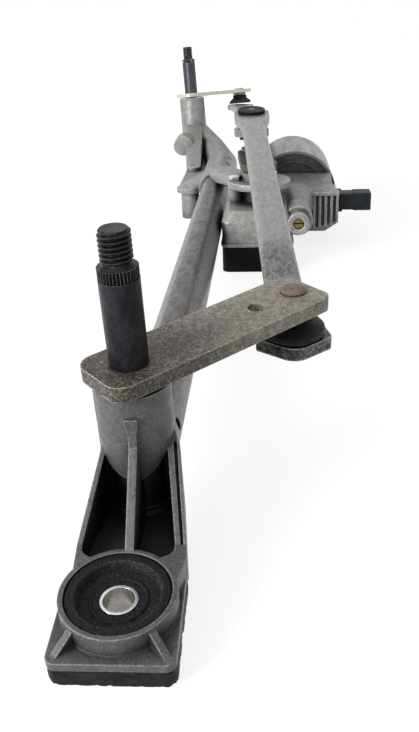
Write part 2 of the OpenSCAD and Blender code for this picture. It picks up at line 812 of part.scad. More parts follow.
// Washer between the near lever and its barrel
module near_washer() {
    color("silver") near_spindle_frame() translate([0, 0, -lever_t - washer_t])
        ring(barrel_r - 1.2, shank_r + seat, washer_t - seat);
}

// Clip that keeps the near spindle in its barrel
module near_circlip() {
    color([0.2, 0.2, 0.2]) near_frame() translate([0, near_arm, 0]) circlip(barrel_low);
}

// Spindle that carries the far wiper arm
module far_spindle() {
    color([0.2, 0.2, 0.23]) far_spindle_frame() spindle(far_barrel_top - far_barrel_l - 3);
}

// Far lever, fixed on its spindle
module far_lever() {
    color([0.78, 0.74, 0.6]) far_spindle_frame() lever(far_len, far_lever_t);
}

// Ball stud riveted into the far lever
module far_ball_stud() {
    color([0.7, 0.66, 0.55]) far_spindle_frame() translate(far_ball) ball_stud(far_lever_t);
}

// Dust boot of the far ball stud
module far_ball_boot() {
    color([0.3, 0.27, 0.25]) far_spindle_frame() translate(far_ball) ball_boot(far_lever_t, far_boot_reach);
}

// Washer between the far lever and its barrel
module far_washer() {
    color("silver") far_spindle_frame() translate([0, 0, -far_lever_t - washer_t])
        ring(barrel_r - 1.2, shank_r + seat, washer_t - seat);
}

// Clip that keeps the far spindle in its barrel
module far_circlip() {
    color([0.2, 0.2, 0.2]) far_spindle_frame() circlip(far_barrel_top - far_barrel_l);
}

// Output shaft: journal, tapered seat of the crank and threaded end
module output_shaft() {
    color("silver") motor_frame() rotate_extrude() polygon([
        [0, worm_z - 9], [shaft_r, worm_z - 9], [shaft_r, crank_z - 0.5], [shaft_r - 1, crank_z],
        [shaft_r - 1.6, crank_z + crank_t - 0.5], [4, crank_z + crank_t - 0.5],
        [4, crank_z + crank_t + nut_h], [3.4, crank_z + crank_t + nut_h + 1],
        [0, crank_z + crank_t + nut_h + 1]
    ]);
}

// Plastic worm wheel on the output shaft
module worm_wheel() {
    tooth_r = wheel_pitch_r + 0.7;
    color("ivory") motor_frame() translate([0, 0, worm_z - wheel_t / 2]) difference() {
        linear_extrude(wheel_t) polygon([
            for (i = [0 : wheel_teeth - 1], k = [0 : 3])
                (k == 1 || k == 2 ? tooth_r : tooth_r - 2)
                    * [cos((i + [0, 0.2, 0.5, 0.7][k]) * 360 / wheel_teeth),
                       sin((i + [0, 0.2, 0.5, 0.7][k]) * 360 / wheel_teeth)]
        ]);
        translate([0, 0, -1]) cylinder(r = shaft_r + seat, h = wheel_t + 2);
        translate([0, 0, wheel_t - 2]) ring(wheel_pitch_r - 4, shaft_r + 4, 3);
    }
}

// Crank arm, a flat forging with a hub and a round end for the double ball stud
module motor_crank() {
    color([0.42, 0.34, 0.26]) motor_frame() translate([0, 0, crank_z]) difference() {
        union() {
            cylinder(r = 12, h = crank_t);
            rotate(crank_angle) {
                translate([crank_r, 0, 0]) cylinder(r = 10, h = crank_t);
                linear_extrude(crank_t) polygon([[0, -12], [crank_r, -10], [crank_r, 10], [0, 12]]);
            }
        }
        translate([0, 0, -1]) cylinder(r = shaft_r - 1 + seat, h = crank_t + 2);
        rotate(crank_angle) translate([crank_r, 0, -1]) cylinder(r = 4.5 + seat, h = crank_t + 2);
    }
}

// Nut that draws the crank onto its taper
module crank_nut() {
    color("gainsboro") motor_frame() translate([0, 0, crank_z + crank_t]) difference() {
        cylinder(r = 8, h = nut_h, $fn = 6);
        translate([0, 0, -1]) cylinder(r = 4 + seat, h = nut_h + 2);
    }
}

// Double ball stud, riveted under the crank
module crank_ball_stud() {
    color("silver") translate([crank_end[0], crank_end[1], 0]) {
        translate([0, 0, crank_z - 0.8]) cylinder(r = 6, h = 0.8);
        translate([0, 0, crank_z - 0.4]) cylinder(r = 4.5, h = crank_t + 0.8);
        translate([0, 0, crank_z + crank_t]) cylinder(r = 7.5, h = 2.5);
        translate([0, 0, crank_z + crank_t]) cylinder(r = neck_r, h = high_ball_z - crank_z - crank_t);
        for (z = [low_ball_z, high_ball_z]) translate([0, 0, z]) sphere(r = ball_r);
    }
}

// Armature shaft with its worm
module armature_shaft() {
    worm_l = 40;
    rings = 12;
    root_r = rotor_r + 0.3;
    front = box_front + 8.5;
    color("gray") translate([worm_x, 0, worm_z]) {
        bar_y(rotor_r, front, can_start + can_l - 2.8 - front);
        translate([0, motor_y - worm_l / 2, 0]) rotate([-90, 0, 0]) rotate_extrude() polygon(concat(
            [[0, 0], [root_r, 0]],
            [for (i = [0 : rings - 1], k = [0 : 3])
                [k == 1 || k == 2 ? worm_r : root_r, (i + [0.1, 0.3, 0.6, 0.8][k]) * worm_l / rings]],
            [[root_r, worm_l], [0, worm_l]]
        ));
    }
}

// Armature core and commutator on the shaft
module armature_core() {
    slots = 8;
    core_r = can_r - 7.3;
    color([0.45, 0.3, 0.2]) translate([worm_x, 0, worm_z]) difference() {
        union() {
            bar_y(core_r, can_start + core_in, core_l);
            bar_y(commutator_r, can_start + core_in - commutator_l + 0.6, commutator_l);
        }
        bar_y(rotor_r + seat, can_start, can_l);
        for (i = [0 : slots - 1]) rotate([0, i * 360 / slots, 0])
            translate([-1, can_start + core_in - 1, core_r - 6]) cube([2, core_l + 2, 8]);
    }
}

// Rod end at the crank: a long flat spade around the origin, then the tube, which begins at flare
module rod_eye(flare) {
    side = eye_w / 2 - 4;
    neck = 14;
    hull() {
        translate([-7, 0, -eye_t / 2]) cylinder(r = 7, h = eye_t, $fn = 32);
        for (x = [-2, neck - 4], s = [-1, 1])
            translate([x, s * side, -eye_t / 2]) cylinder(r = 4, h = eye_t, $fn = 32);
    }
    hull() {
        for (s = [-1, 1]) translate([neck - 4, s * side, -eye_t / 2]) cylinder(r = 4, h = eye_t, $fn = 32);
        translate([flare, 0, 0]) rotate([90, 0, 90]) linear_extrude(1) oval(rod_w, rod_t, $fn = 32);
    }
}

// Rod end at a lever: a spade that flares to two corners and ends in a shallow point
module rod_spade(flare) {
    corner_r = 1.5;
    corner = spade_w / 2 - corner_r;
    heel = [9, corner - 2.5];
    hull() {
        translate([-4, 0, -eye_t / 2]) cylinder(r = 7, h = eye_t, $fn = 32);
        for (s = [-1, 1]) {
            translate([-2, s * corner, -eye_t / 2]) cylinder(r = corner_r, h = eye_t, $fn = 32);
            translate([heel[0], s * heel[1], -eye_t / 2]) cylinder(r = corner_r, h = eye_t, $fn = 32);
        }
    }
    hull() {
        for (s = [-1, 1])
            translate([heel[0], s * heel[1], -eye_t / 2]) cylinder(r = corner_r, h = eye_t, $fn = 32);
        translate([flare, 0, 0]) rotate([90, 0, 90]) linear_extrude(1) oval(rod_w, rod_t, $fn = 32);
    }
}

// Link rod from crank eye a to lever spade b: flat-oval tube with both ends pressed flat
module link_rod(a, b) {
    len = norm(b - a);
    flare = 34;
    link_frame(a, b) difference() {
        union() {
            rod_eye(flare);
            translate([len, 0, 0]) rotate(180) rod_spade(flare);
            translate([flare, 0, 0]) rotate([90, 0, 90]) linear_extrude(len - 2 * flare) oval(rod_w, rod_t);
        }
        translate([flare + 6, 0, 0]) rotate([90, 0, 90])
            linear_extrude(len - 2 * flare - 12) oval(rod_w - 2.4, rod_t - 2.4);
        for (x = [0, len]) translate([x, 0, -10]) cylinder(r = socket_fit_r + seat, h = 20);
    }
}

// Plastic ball socket pressed into a rod's eye around a crank ball
module crank_socket(top) {
    difference() {
        union() {
            translate([0, 0, -4.6]) cylinder(r = socket_fit_r, h = 9.2);
            translate([0, 0, eye_t / 2 + gap]) cylinder(r = socket_flange_r, h = 1.8);
        }
        sphere(r = ball_r + run);
        translate([0, 0, -10]) cylinder(r = neck_r + 1.4, h = 10);
        if (!top) cylinder(r = neck_r + 1.4, h = 10);
    }
}

// Dished plastic socket in a rod's eye under a lever ball
module lever_socket() {
    dish_r = 11.5;
    difference() {
        translate([0, 0, -eye_t / 2]) cylinder(r = socket_fit_r, h = eye_t);
        translate([0, 0, eye_t / 2 + dish_r - 2]) sphere(r = dish_r);
    }
}

// Point under the near lever's ball where the near rod's eye is centred
function near_eye() = let (
    y = near_arm + near_ball[1],
    z = near_h - lever_t - eye_drop,
    y1 = y * cos(near_tilt) - z * sin(near_tilt),
    z1 = y * sin(near_tilt) + z * cos(near_tilt)
) [
    near_ball[0] * cos(near_lean) - z1 * sin(near_lean),
    y1,
    near_ball[0] * sin(near_lean) + z1 * cos(near_lean)
];

// Point under the far lever's ball where the far rod's eye is centred
function far_eye() = let (
    y = far_ball[1],
    z = -far_lever_t - eye_drop,
    y1 = y * cos(far_tilt) + z * sin(far_tilt),
    z1 = -y * sin(far_tilt) + z * cos(far_tilt)
) far_top + [
    far_ball[0] * cos(far_lean) - z1 * sin(far_lean),
    y1,
    far_ball[0] * sin(far_lean) + z1 * cos(far_lean)
];

// Rod from the crank to the near lever
module near_rod() {
    color("darkgray") link_rod(near_rod_a, near_eye());
}

// Socket of the near rod on the crank's upper ball
module near_rod_crank_socket() {
    color([0.1, 0.1, 0.12]) link_frame(near_rod_a, near_eye()) crank_socket(true);
}

// Socket of the near rod under the near lever
module near_rod_lever_socket() {
    color([0.1, 0.1, 0.12]) link_frame(near_rod_a, near_eye())
        translate([norm(near_eye() - near_rod_a), 0, 0]) lever_socket();
}

// Rod from the crank to the far lever
module far_rod() {
    color("darkgray") link_rod(far_rod_a, far_eye());
}

// Socket of the far rod on the crank's lower ball
module far_rod_crank_socket() {
    color([0.1, 0.1, 0.12]) link_frame(far_rod_a, far_eye()) crank_socket(false);
}

// Socket of the far rod under the far lever
module far_rod_lever_socket() {
    color([0.1, 0.1, 0.12]) link_frame(far_rod_a, far_eye())
        translate([norm(far_eye() - far_rod_a), 0, 0]) lever_socket();
}

frame_tube();
near_housing();
near_bushes();
near_isolator();
near_mount_sleeve();
near_foot_pad();
far_housing();
far_bushes();
gear_housing();
gear_cover();
cover_screws();
thrust_screw();
output_bush();
motor_can();
motor_end_plate();
can_magnets();
motor_screws();
connector();
near_spindle();
near_lever();
near_ball_stud();
near_ball_boot();
near_washer();
near_circlip();
far_spindle();
far_lever();
far_ball_stud();
far_ball_boot();
far_washer();
far_circlip();
output_shaft();
worm_wheel();
motor_crank();
crank_nut();
crank_ball_stud();
armature_shaft();
armature_core();
near_rod();
near_rod_crank_socket();
near_rod_lever_socket();
far_rod();
far_rod_crank_socket();
far_rod_lever_socket();
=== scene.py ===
import json
import math

import bpy
from mathutils import Matrix, Vector, noise


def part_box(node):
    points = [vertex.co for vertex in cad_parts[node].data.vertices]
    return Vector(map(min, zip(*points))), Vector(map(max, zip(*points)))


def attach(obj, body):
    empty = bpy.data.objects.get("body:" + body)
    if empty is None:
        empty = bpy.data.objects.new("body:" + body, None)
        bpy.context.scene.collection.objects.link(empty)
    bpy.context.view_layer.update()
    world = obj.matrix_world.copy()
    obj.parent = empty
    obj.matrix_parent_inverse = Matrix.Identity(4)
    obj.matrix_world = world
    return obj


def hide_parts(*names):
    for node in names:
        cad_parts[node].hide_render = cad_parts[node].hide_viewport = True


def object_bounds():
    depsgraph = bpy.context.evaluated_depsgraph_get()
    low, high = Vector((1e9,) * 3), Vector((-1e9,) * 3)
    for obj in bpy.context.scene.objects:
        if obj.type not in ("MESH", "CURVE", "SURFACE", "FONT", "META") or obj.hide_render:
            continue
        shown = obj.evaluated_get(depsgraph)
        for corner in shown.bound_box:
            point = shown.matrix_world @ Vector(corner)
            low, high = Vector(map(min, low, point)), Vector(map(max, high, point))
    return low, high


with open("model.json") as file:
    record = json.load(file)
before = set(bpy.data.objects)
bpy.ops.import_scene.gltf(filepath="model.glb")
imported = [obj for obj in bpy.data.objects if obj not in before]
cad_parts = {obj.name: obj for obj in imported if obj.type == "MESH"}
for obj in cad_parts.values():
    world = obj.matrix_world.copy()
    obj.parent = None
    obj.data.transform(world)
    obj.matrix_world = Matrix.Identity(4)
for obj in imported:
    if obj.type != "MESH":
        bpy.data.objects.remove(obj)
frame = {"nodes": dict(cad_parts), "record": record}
cad_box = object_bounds()

# Near bearing casting: arm with two pockets, slanted barrel, mount cup and foot flange in one piece.
# Pressure die-cast aluminium, darkened by age, left as cast and held to the tube by staking.
# Gates and walls come out of the die with a fine grain; handling has rubbed the edges pale.


def linear(colour):
    """An sRGB hex colour as the linear values that a shader socket takes."""
    channels = [int(colour[i:i + 2], 16) / 255 for i in (1, 3, 5)]
    return [c / 12.92 if c <= 0.04045 else ((c + 0.055) / 1.055) ** 2.4 for c in channels] + [1]


def per_mm(size):
    """Texture scale at which one cell of a pattern measures size millimetres."""
    return 1000 / size


def add(material, kind, settings, sockets):
    """Adds a shader node, sets its settings, and links or fills its sockets."""
    made = material.node_tree.nodes.new("ShaderNode" + kind)
    for name, value in settings.items():
        setattr(made, name, value)
    for socket, value in sockets.items():
        if isinstance(value, bpy.types.NodeSocket):
            material.node_tree.links.new(value, made.inputs[socket])
        else:
            made.inputs[socket].default_value = value
    return made


def bare(name):
    """A new material with an empty node tree."""
    material = bpy.data.materials.new(name)
    material.use_nodes = True
    material.node_tree.nodes.clear()
    return material


def paint(material, *nodes):
    """Gives CAD nodes their finish."""
    for name in nodes:
        mesh_object = frame["nodes"][name]
        if not mesh_object.material_slots:
            mesh_object.data.materials.append(material)
        for slot in mesh_object.material_slots:
            slot.material = material


def weathered(name, clean, dull, stain, worn, grime_and_shade, metallic, rough, grain, mottle, stained=0.2, salt=0.2,
              pepper=0.3, grit=0.25, edge=0.5, stretch=(1, 1, 1), fillet=0.6, deep=12, relief=0.05,
              specular=0.5, band=None, grease_and_shadow=()):
    """A surface that has lived outdoors: two tones, stains, pale grains, dark pits and rubbed edges.

    grain, mottle, edge, fillet, deep and relief are in millimetres; real casting and zinc grain of 0.1 to
    0.2 mm is too fine for the picture, so it is drawn three to six times coarser. stained, salt and pepper
    say how much of the surface lies under stains, pale grains and dark pits, and grit how far the grain
    lightens and darkens it. stretch draws the patches out along X, Y and Z. band is a stripe of dirt: the
    direction across it, its place along that direction and its half width, in metres. soiled lists points
    where grease has spread, and how far, in metres; in places the smear also stands for painted shadow.
    grime is the colour of the dark pits and the grease, and also of the painted shade that darkens
    recesses out to deep. The noise runs from 0 to 1 around 0.5, so the limits below are shares of it.
    """
    m = bare(name)
    place = add(m, "TexCoord", {}, {}).outputs["Object"]
    drawn = add(m, "Mapping", {}, {"Vector": place, "Scale": [1 / s for s in stretch]}).outputs[0]
    patches = add(m, "TexNoise", {}, {"Vector": drawn, "Scale": per_mm(mottle), "Detail": 8,
                                      "Roughness": 0.75}).outputs["Fac"]
    spots = add(m, "TexNoise", {}, {"Vector": drawn, "Scale": per_mm(mottle * 2.3), "Detail": 14,
                                    "Roughness": 0.82, "Distortion": 0.3}).outputs["Fac"]
    grains = add(m, "TexNoise", {}, {"Vector": place, "Scale": per_mm(grain), "Detail": 3,
                                     "Roughness": 0.8}).outputs["Fac"]
    pits = add(m, "TexNoise", {}, {"Vector": drawn, "Scale": per_mm(grain * 1.8), "Detail": 6,
                                   "Roughness": 0.8}).outputs["Fac"]

    patch = add(m, "MapRange", {}, {"Value": patches, "From Min": 0.42, "From Max": 0.6})
    colour = add(m, "Mix", {"data_type": "RGBA"}, {0: patch.outputs[0], 6: linear(clean), 7: linear(dull)})
    cover = add(m, "MapRange", {}, {"Value": spots, "From Min": 0.66 - 0.26 * stained,
                                    "From Max": 0.73 - 0.26 * stained, "To Max": 0.8}).outputs[0]
    if band:
        across, centre, half = band
        aside = add(m, "VectorMath", {"operation": "DOT_PRODUCT"}, {0: place, 1: across})
        off = add(m, "Math", {"operation": "SUBTRACT"}, {0: aside.outputs["Value"], 1: centre})
        away = add(m, "Math", {"operation": "ABSOLUTE"}, {0: off.outputs[0]})
        near = add(m, "MapRange", {"interpolation_type": "SMOOTHSTEP"},
                   {"Value": away.outputs[0], "From Min": half, "From Max": half * 0.75})
        torn = add(m, "MapRange", {}, {"Value": spots, "From Min": 0.44, "From Max": 0.55, "To Min": 0.5})
        flaked = add(m, "MapRange", {}, {"Value": pits, "From Min": 0.42, "From Max": 0.56, "To Min": 0.75})
        flakes = add(m, "Math", {"operation": "MULTIPLY"}, {0: torn.outputs[0], 1: flaked.outputs[0]})
        stripe = add(m, "Math", {"operation": "MULTIPLY"}, {0: near.outputs[0], 1: flakes.outputs[0]})
        cover = add(m, "Math", {"operation": "MAXIMUM"}, {0: cover, 1: stripe.outputs[0]}).outputs[0]
    colour = add(m, "Mix", {"data_type": "RGBA"}, {0: cover, 6: colour.outputs[2], 7: linear(stain)})
    speck = add(m, "MapRange", {}, {"Value": grains, "From Min": 0.7 - 0.2 * salt,
                                    "From Max": 0.76 - 0.2 * salt, "To Max": 0.3 + 0.5 * salt})
    colour = add(m, "Mix", {"data_type": "RGBA"},
                 {0: speck.outputs[0], 6: colour.outputs[2], 7: linear(worn)})
    pit = add(m, "MapRange", {}, {"Value": pits, "From Min": 0.65 - 0.16 * pepper,
                                  "From Max": 0.72 - 0.16 * pepper, "To Max": 0.3 + 0.6 * pepper})
    colour = add(m, "Mix", {"data_type": "RGBA"},
                 {0: pit.outputs[0], 6: colour.outputs[2], 7: linear(grime_and_shade)})
    flecks = add(m, "MapRange", {}, {"Value": pits, "From Min": 0.42, "From Max": 0.56, "To Min": 0.25})
    # Dark smears painted round given points: grease, and at the near rod's lever socket also painted shadow
    # of the lever.
    for point, radius in grease_and_shadow:
        reach = add(m, "VectorMath", {"operation": "DISTANCE"}, {0: place, 1: point})
        uneven = add(m, "Math", {"operation": "MULTIPLY_ADD"},
                     {0: spots, 1: radius * 1.4, 2: reach.outputs["Value"]})
        smear = add(m, "MapRange", {"interpolation_type": "SMOOTHSTEP"},
                    {"Value": uneven.outputs[0], "From Min": radius * 1.9, "From Max": radius,
                     "To Max": 0.9})
        spread = add(m, "Math", {"operation": "MULTIPLY"}, {0: smear.outputs[0], 1: flecks.outputs[0]})
        colour = add(m, "Mix", {"data_type": "RGBA"},
                     {0: spread.outputs[0], 6: colour.outputs[2], 7: linear(grime_and_shade)})
    rim = add(m, "AmbientOcclusion", {"inside": True, "only_local": True, "samples": 8},
              {"Distance": edge / 1000})
    rubbed = add(m, "MapRange", {}, {"Value": rim.outputs["AO"], "From Min": 0.86, "From Max": 0.5})
    ragged = add(m, "MapRange", {}, {"Value": grains, "From Min": 0.35, "From Max": 0.6, "To Min": 0.25})
    broken = add(m, "Math", {"operation": "MULTIPLY"}, {0: rubbed.outputs[0], 1: ragged.outputs[0]})
    colour = add(m, "Mix", {"data_type": "RGBA"},
                 {0: broken.outputs[0], 6: colour.outputs[2], 7: linear(worn)})
    sandy = add(m, "MapRange", {}, {"Value": grains, "From Min": 0.3, "From Max": 0.7,
                                    "To Min": 1 - grit, "To Max": 1 + grit})
    colour = add(m, "Mix", {"data_type": "RGBA", "blend_type": "MULTIPLY"},
                 {0: 1.0, 6: colour.outputs[2], 7: sandy.outputs[0]})
    # Painted shade: ambient occlusion darkens recesses and corners towards the grime colour, as far as deep
    # reaches.
    recess = add(m, "AmbientOcclusion", {"samples": 8}, {"Distance": deep / 1000})
    shade = add(m, "MapRange", {}, {"Value": recess.outputs["AO"], "From Min": 0.8, "From Max": 0.35,
                                    "To Max": 0.95})
    colour = add(m, "Mix", {"data_type": "RGBA"},
                 {0: shade.outputs[0], 6: colour.outputs[2], 7: linear(grime_and_shade)})

    gloss = add(m, "MapRange", {}, {"Value": patches, "From Min": 0.35, "From Max": 0.65,
                                    "To Min": rough - 0.08, "To Max": rough + 0.12})
    round_edge = add(m, "Bevel", {"samples": 6}, {"Radius": fillet / 1000})
    bumps = add(m, "Bump", {}, {"Height": grains, "Distance": relief / 1000, "Normal": round_edge.outputs[0]})
    shader = add(m, "BsdfPrincipled", {}, {"Base Color": colour.outputs[2], "Metallic": metallic,
                                           "Roughness": gloss.outputs[0], "Specular IOR Level": specular,
                                           "Normal": bumps.outputs[0]})
    add(m, "OutputMaterial", {}, {"Surface": shader.outputs[0]})
    return m


# An even cool grey with a fine grain, pale along the rubbed edges, and black in the pockets from painted
# shade.
die_cast = weathered("dark_die_cast_aluminium", clean="#606161", dull="#505152", stain="#3a3936",
                     worn="#a39e95", grime_and_shade="#0a0b0c", metallic=0.15, rough=0.36, grain=0.7, mottle=4,
                     stained=0.15, salt=0.18, pepper=0.4, grit=0.5, edge=0.6, fillet=0.9, deep=15,
                     relief=0.2)
paint(die_cast, "near_housing")

# Rubber mount in the cup and the foot pad under the flange, with the steel bush that takes the bolt.
# Natural rubber filled with carbon black, moulded round the bush; dust has settled in a ring.
# Rubber is dull, scatters a soft sheen and keeps pale scuffs where it has been rubbed.

# In metres, apart from the last two, which are pattern sizes in millimetres.
CRUMBLED = (0.0106, 0.0127)
SOFT_EDGE = 0.001
RUBBER_FILLET = 0.00015
RUBBER_GRAIN = 0.0002
STEP_SHADE = 0.004
DUST_CLOUD = 6
GRIT = 0.45


def tilted(axis):
    """Rotation that tips Z onto an axis, about X first and then about Y."""
    tip, lean = -math.asin(axis[1]), math.atan2(axis[0], axis[2])
    return Matrix.Rotation(lean, 4, "Y") @ Matrix.Rotation(tip, 4, "X")


bolt_axis = next(seat["axis"] for seat in frame["record"]["mounts"] if seat["name"] == "near_mount")
mount_seat = tilted(bolt_axis)

# Old natural rubber: a dead black, with brown crumbs in a ring round the bush and pale flecks on them painted
# as glints of light.
# The grit is drawn as wide as the finer crumbs; the real dust among them is too fine for the picture.
rubber = bare("crumbling_black_rubber")
place = add(rubber, "TexCoord", {}, {}).outputs["Object"]
upright = add(rubber, "VectorRotate", {"rotation_type": "EULER_XYZ", "invert": True},
              {"Vector": place, "Rotation": mount_seat.to_euler()})
flat = add(rubber, "VectorMath", {"operation": "MULTIPLY"}, {0: upright.outputs[0], 1: (1, 1, 0)})
radius = add(rubber, "VectorMath", {"operation": "LENGTH"}, {0: flat.outputs[0]})
inner = add(rubber, "MapRange", {"interpolation_type": "SMOOTHSTEP"},
            {"Value": radius.outputs["Value"], "From Min": CRUMBLED[0] - 3 * SOFT_EDGE,
             "From Max": CRUMBLED[0] + SOFT_EDGE, "To Min": 0.2})
outer = add(rubber, "MapRange", {"interpolation_type": "SMOOTHSTEP"},
            {"Value": radius.outputs["Value"], "From Min": CRUMBLED[1] + SOFT_EDGE,
             "From Max": CRUMBLED[1] - SOFT_EDGE, "To Min": 0.08})
ring = add(rubber, "Math", {"operation": "MULTIPLY"}, {0: inner.outputs[0], 1: outer.outputs[0]})
clouds = add(rubber, "TexNoise", {}, {"Vector": place, "Scale": per_mm(DUST_CLOUD), "Detail": 6,
                                      "Roughness": 0.65})
patchy = add(rubber, "MapRange", {}, {"Value": clouds.outputs["Fac"], "From Min": 0.38, "From Max": 0.62,
                                      "To Min": 0.45, "To Max": 1.2})
thick = add(rubber, "Math", {"operation": "MULTIPLY"}, {0: ring.outputs[0], 1: patchy.outputs[0]})
grit = add(rubber, "TexNoise", {}, {"Vector": place, "Scale": per_mm(GRIT), "Detail": 3, "Roughness": 0.75})
crumb = add(rubber, "MapRange", {}, {"Value": grit.outputs["Fac"], "From Min": 0.48, "From Max": 0.6})
strewn = add(rubber, "Math", {"operation": "MULTIPLY", "use_clamp": True},
             {0: crumb.outputs[0], 1: thick.outputs[0]})
dusted = add(rubber, "Mix", {"data_type": "RGBA"},
             {0: strewn.outputs[0], 6: linear("#0d0e11"), 7: linear("#4f483f")})
# Painted highlight: pale flecks among the crumbs stand for glints of light.
glint_spots = add(rubber, "MapRange", {}, {"Value": grit.outputs["Fac"], "From Min": 0.66, "From Max": 0.7})
bright = add(rubber, "Math", {"operation": "MULTIPLY", "use_clamp": True},
             {0: glint_spots.outputs[0], 1: thick.outputs[0]})
with_painted_glints = add(rubber, "Mix", {"data_type": "RGBA"},
              {0: bright.outputs[0], 6: dusted.outputs[2], 7: linear("#a59a8d")})
# Painted shade: ambient occlusion darkens the foot of the step and other hollows to near black.
corner = add(rubber, "AmbientOcclusion", {"samples": 8}, {"Distance": STEP_SHADE})
painted_step_shade = add(rubber, "MapRange", {}, {"Value": corner.outputs["AO"], "From Min": 0.9, "From Max": 0.55,
                                    "To Max": 0.9})
shaded = add(rubber, "Mix", {"data_type": "RGBA"},
             {0: painted_step_shade.outputs[0], 6: with_painted_glints.outputs[2], 7: linear("#060607")})
dull = add(rubber, "MapRange", {}, {"Value": clouds.outputs["Fac"], "From Min": 0.35, "From Max": 0.65,
                                    "To Min": 0.42, "To Max": 0.7})
round_edge = add(rubber, "Bevel", {"samples": 6}, {"Radius": RUBBER_FILLET})
skin = add(rubber, "Bump", {}, {"Height": grit.outputs["Fac"], "Distance": RUBBER_GRAIN,
                                "Normal": round_edge.outputs[0]})
shader = add(rubber, "BsdfPrincipled", {},
             {"Base Color": shaded.outputs[2], "Roughness": dull.outputs[0], "IOR": 1.52,
              "Specular IOR Level": 0.22, "Normal": skin.outputs[0]})
add(rubber, "OutputMaterial", {}, {"Surface": shader.outputs[0]})

# The pad and the boot are of a firmer rubber: a soft black, greyer where it has been rubbed.
worn_rubber = weathered("worn_black_rubber", clean="#1c1d20", dull="#0e0f10", stain="#35322f", worn="#66635f",
                        grime_and_shade="#070708", metallic=0.0, rough=0.45, grain=0.8, mottle=2.2, stained=0.3,
                        salt=0.2, pepper=0.4, grit=0.6, edge=0.4, stretch=(2.5, 2.5, 1), fillet=0.8,
                        deep=4, relief=0.3, specular=0.14)
paint(worn_rubber, "near_ball_boot")

# The pad is drawn anew inside the CAD solid, with the lumps and nicks of rubber that has stood on metal.
# Its cells are in metres; each pair gives how wide lumps are and how deep they cut, in millimetres.
PAD_VOXEL = 0.0006
PAD_LUMPS = ((6, 0.9), (1.6, 0.5))

pad = bpy.data.objects.new("near_foot_pad_worn", frame["nodes"]["near_foot_pad"].data.copy())
bpy.context.scene.collection.objects.link(pad)
cells = pad.modifiers.new("cells", "REMESH")
cells.voxel_size = PAD_VOXEL
cells.use_smooth_shade = True
pad.data = bpy.data.meshes.new_from_object(pad.evaluated_get(bpy.context.evaluated_depsgraph_get()))
pad.modifiers.clear()
normals = [vertex.normal.copy() for vertex in pad.data.vertices]
for vertex, normal in zip(pad.data.vertices, normals):
    lump = sum(depth * max(0, noise.noise(vertex.co * 1000 / size)) for size, depth in PAD_LUMPS)
    vertex.co -= normal * lump / 1000
pad.data.materials.clear()
pad.data.materials.append(worn_rubber)
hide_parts("near_foot_pad")
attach(pad, "frame")

# The mount is drawn anew inside the CAD solid, with a raised ring and crumbled top faces.
# Its outline is a list of radii and heights along the bolt's axis, in millimetres.
MOUNT_UNDER = [(5.45, 0.6), (12.15, 0.6), (12.15, 8.55), (15.15, 8.55)]
MOUNT_TOP = [(15.15, 13.6), (14.6, 14.3), (12.4, 14.3), (12.0, 14.0), (11.2, 11.6), (8.6, 11.4), (8.3, 11.75),
             (7.7, 11.75), (7.4, 11.4), (6.2, 11.4), (5.45, 11.3)]
MOUNT_STEPS = 288
MOUNT_CELL = 0.3
CRUMB_DEPTH = 0.35
CRUMB_SIZES = (1.1, 0.45)
FINE_CRUMBS = 0.6


def new_piece(name, points, faces, finish):
    """A mesh object with one finish, from points in metres."""
    mesh = bpy.data.meshes.new(name)
    mesh.from_pydata(points, [], faces)
    mesh.materials.append(finish)
    piece = bpy.data.objects.new(name, mesh)
    bpy.context.scene.collection.objects.link(piece)
    return piece


def between_rings(rings, around, closed):
    """Faces from each ring of points to the next one, and from the last to the first where closed."""
    return [(row * around + i, row * around + (i + 1) % around,
             (row + 1) % rings * around + (i + 1) % around, (row + 1) % rings * around + i)
            for row in range(rings if closed else rings - 1) for i in range(around)]


outline = list(MOUNT_UNDER)
for (r0, z0), (r1, z1) in zip(MOUNT_TOP, MOUNT_TOP[1:]):
    parts = math.ceil(math.hypot(r1 - r0, z1 - z0) / MOUNT_CELL)
    outline += [(r0 + (r1 - r0) * i / parts, z0 + (z1 - z0) * i / parts) for i in range(parts)]
outline.append(MOUNT_TOP[-1])
points = []
for row, (r, z) in enumerate(outline):
    for i in range(MOUNT_STEPS):
        angle = math.tau * i / MOUNT_STEPS
        spot = Vector((r * math.cos(angle), r * math.sin(angle), z))
        if len(MOUNT_UNDER) < row < len(outline) - 1:
            lump, flake = (noise.noise(spot / size) for size in CRUMB_SIZES)
            spot.z -= CRUMB_DEPTH * max(0, lump + FINE_CRUMBS * flake)
        points.append(mount_seat @ spot / 1000)
mount = new_piece("near_isolator_moulded", points, between_rings(len(outline), MOUNT_STEPS, True), rubber)
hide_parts("near_isolator")
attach(mount, "frame")

# Nearly a white mirror, turned greyer and yellower down in the bore by painted shade.
bright_zinc = weathered("bright_zinc_plate", clean="#e2e3e5", dull="#d4d6d9", stain="#b3ada0",
                        worn="#fafafa", grime_and_shade="#7d776a", metallic=1.0, rough=0.2, grain=0.5, mottle=4,
                        stained=0.1, salt=0.0, pepper=0.0, grit=0.05, edge=0.3, fillet=0.3, deep=9,
                        relief=0.01)
paint(bright_zinc, "near_mount_sleeve", "near_washer", "far_washer", "motor_screws", "cover_screws")

# Frame tube between the two bearing castings.
# Hot-dip galvanised round steel tube, welded and drawn, pushed over one casting and into the other.
# The zinc has dulled in patches that run along the tube, with brown dirt in streaks.

# Soft grey with a narrow shine along the left, under a torn band of brown dirt.
galvanised = weathered("dull_galvanised_steel", clean="#807e7b", dull="#6e6c6a", stain="#271f18",
                       worn="#b5b3ae", grime_and_shade="#221e1b", metallic=0.25, rough=0.34, grain=1.0, mottle=2.4,
                       stained=0.3, salt=0.2, pepper=0.45, grit=0.4, stretch=(1, 3, 1), relief=0.08,
                       band=((1, 0, 0), -0.0008, 0.0062))
paint(galvanised, "frame_tube")

